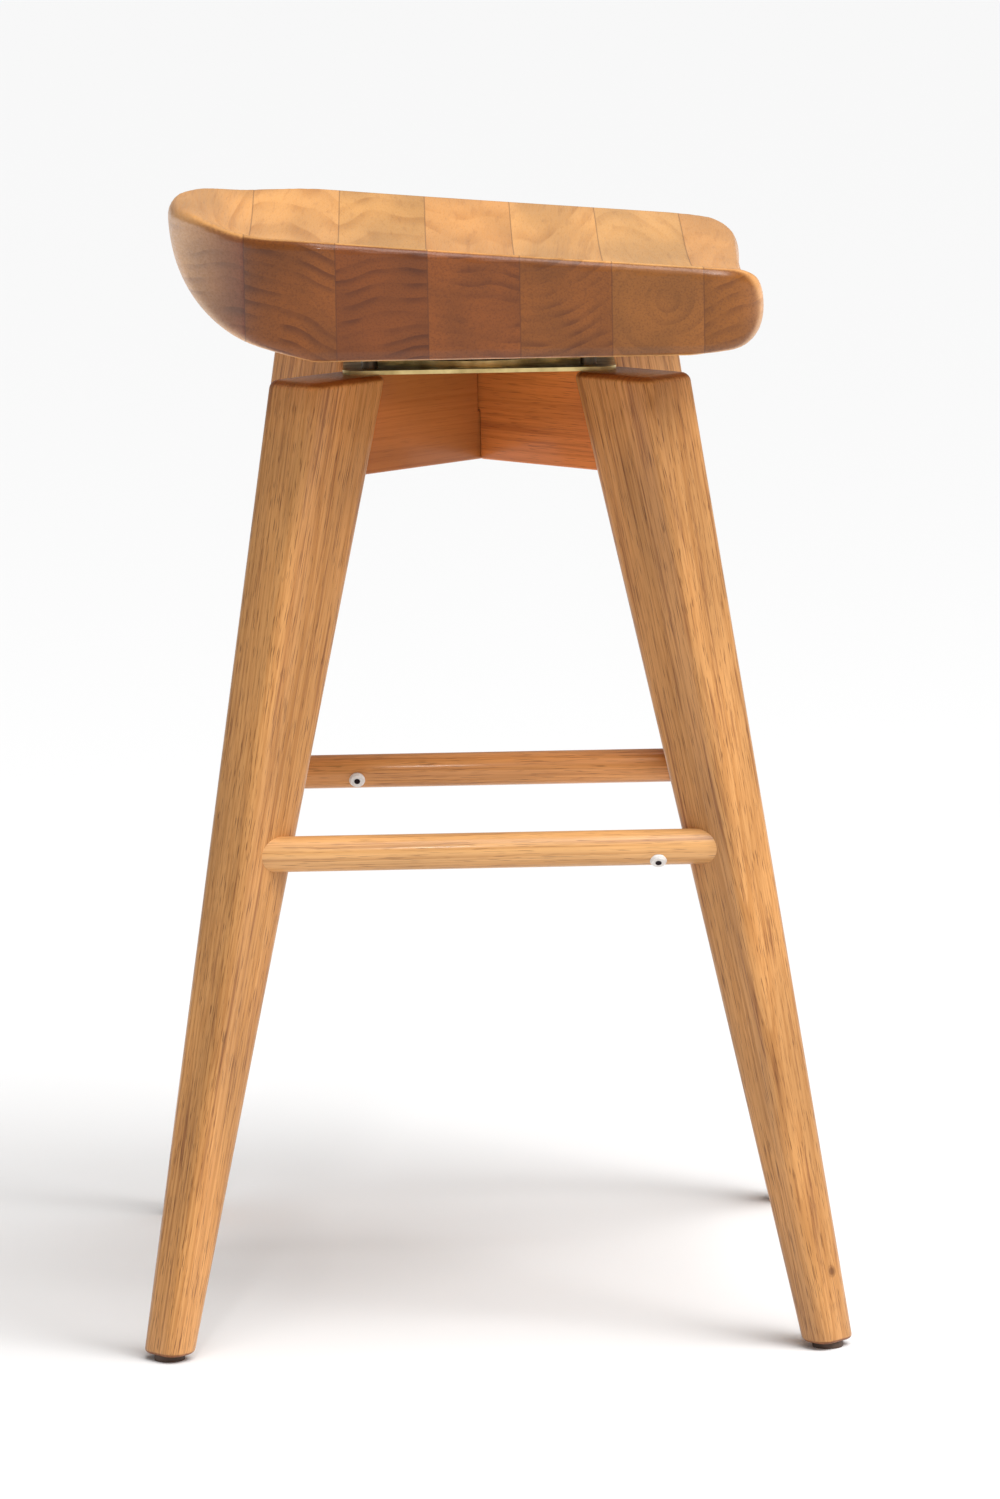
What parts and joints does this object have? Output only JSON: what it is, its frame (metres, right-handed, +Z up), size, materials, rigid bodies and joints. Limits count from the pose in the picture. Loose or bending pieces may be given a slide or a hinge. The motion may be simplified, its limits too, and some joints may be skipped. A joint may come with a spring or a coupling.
{
  "type": "swivel bar stool",
  "caption": "Backless wooden bar stool: carved dished seat on a square ball-bearing swivel, crossed boards, splayed tapered legs and a round dowel footrest.",
  "frame": {"origin": "on the floor, on the swivel's axis", "axes": "+Z up along the swivel's axis; +X towards the seat's front; +Y to the sitter's left"},
  "size_m": [0.4406, 0.4406, 0.698],
  "materials": {
    "seat_wood": "clear satin lacquer on edge-glued hardwood staves",
    "leg_wood": "clear satin lacquer on solid hardwood",
    "board_wood": "clear satin lacquer on solid hardwood",
    "dowel_wood": "clear satin lacquer on turned hardwood",
    "white_plastic": "moulded nylon",
    "dark_plastic": "moulded polyethylene",
    "plated_steel": "yellow-passivated zinc plating",
    "dark_steel": "blackened steel"
  },
  "bodies": {
    "base": {"leg_front_left": "leg_wood", "leg_back_left": "leg_wood", "leg_back_right": "leg_wood", "leg_front_right": "leg_wood", "joint_pegs": "dowel_wood", "cross_board_a": "board_wood", "cross_board_b": "board_wood", "footrest_left": "dowel_wood", "footrest_back": "dowel_wood", "footrest_right": "dowel_wood", "footrest_front": "dowel_wood", "footrest_buttons": "white_plastic", "button_nails": "dark_steel", "foot_glides": "dark_plastic", "glide_nails": "plated_steel", "swivel_lower_plate": "plated_steel", "swivel_eyelet": "plated_steel", "swivel_ball_cage": "plated_steel", "swivel_balls": "plated_steel", "lower_plate_screws": "plated_steel"},
    "seat": {"seat_stave_1": "seat_wood", "seat_stave_2": "seat_wood", "seat_stave_3": "seat_wood", "seat_stave_4": "seat_wood", "seat_stave_5": "seat_wood", "seat_stave_6": "seat_wood", "seat_stave_7": "seat_wood", "swivel_upper_plate": "plated_steel", "upper_plate_screws": "plated_steel"}
  },
  "joints": [
    {"name": "seat_swivel", "type": "hinge", "parent": "base", "child": "seat", "pos_m": [0, 0, 0.6025], "axis": [0, 0, 1], "continuous": true}
  ]
}
